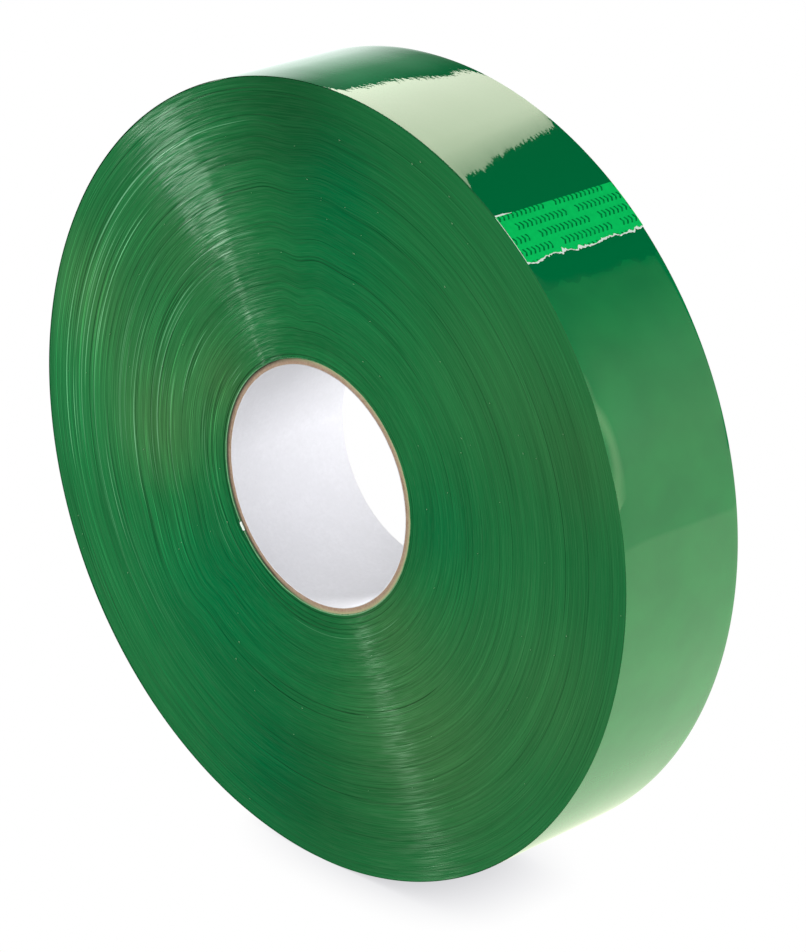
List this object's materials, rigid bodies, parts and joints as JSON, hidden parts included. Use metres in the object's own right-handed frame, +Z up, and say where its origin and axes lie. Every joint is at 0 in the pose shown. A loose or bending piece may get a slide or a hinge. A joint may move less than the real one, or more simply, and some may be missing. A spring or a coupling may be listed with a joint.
{
  "type": "packing tape roll",
  "caption": "Wide roll of green carton-sealing film tape wound on a spiral paper core, with a paper-backed starting tab that peels off the rim.",
  "frame": {"origin": "middle of the roll's axis, halfway across the tape's width", "axes": "+Y along the roll's axis, +Z up with the roll standing on its rim, the starting tab on the +X side of the top"},
  "size_m": [0.2517, 0.048, 0.2518],
  "materials": {
    "green_film": "gloss",
    "film_edge": "satin",
    "white_paper": "matte",
    "tab_paper": "matte",
    "kraft_ply": "matte"
  },
  "bodies": {
    "roll": {"core_liner": "white_paper", "core_ply_1": "kraft_ply", "core_ply_2": "kraft_ply", "core_ply_3": "kraft_ply", "core_ply_4": "kraft_ply", "start_leader": "white_paper", "start_turns": "green_film", "wound_turns": "film_edge", "last_turn": "green_film"},
    "tail_1": {"tail_film_1": "green_film"},
    "tail_2": {"tail_film_2": "green_film"},
    "tail_3": {"tail_film_3": "green_film"},
    "tail_4": {"tail_film_4": "green_film"},
    "tab": {"tab_film": "green_film", "tab_paper": "tab_paper"}
  },
  "joints": [
    {"name": "peel", "type": "hinge", "parent": "roll", "child": "tail_1", "pos_m": [0.00988, 0, 0.12559], "axis": [0, -1, 0], "range_deg": [0, 45]},
    {"name": "tail_bend_1", "type": "hinge", "parent": "tail_1", "child": "tail_2", "pos_m": [0.02694, 0, 0.12306], "axis": [0, -1, 0], "range_deg": [0, 36]},
    {"name": "tail_bend_2", "type": "hinge", "parent": "tail_2", "child": "tail_3", "pos_m": [0.0435, 0, 0.11823], "axis": [0, -1, 0], "range_deg": [0, 27]},
    {"name": "tail_bend_3", "type": "hinge", "parent": "tail_3", "child": "tail_4", "pos_m": [0.05924, 0, 0.11118], "axis": [0, -1, 0], "range_deg": [0, 18]},
    {"name": "tab_bend", "type": "hinge", "parent": "tail_4", "child": "tab", "pos_m": [0.07387, 0, 0.10204], "axis": [0, -1, 0], "range_deg": [0, 9]}
  ],
  "couplings": [
    {"joint": "tail_bend_1", "follows": "peel", "ratio": 0.8},
    {"joint": "tail_bend_2", "follows": "peel", "ratio": 0.6},
    {"joint": "tail_bend_3", "follows": "peel", "ratio": 0.4},
    {"joint": "tab_bend", "follows": "peel", "ratio": 0.2}
  ]
}
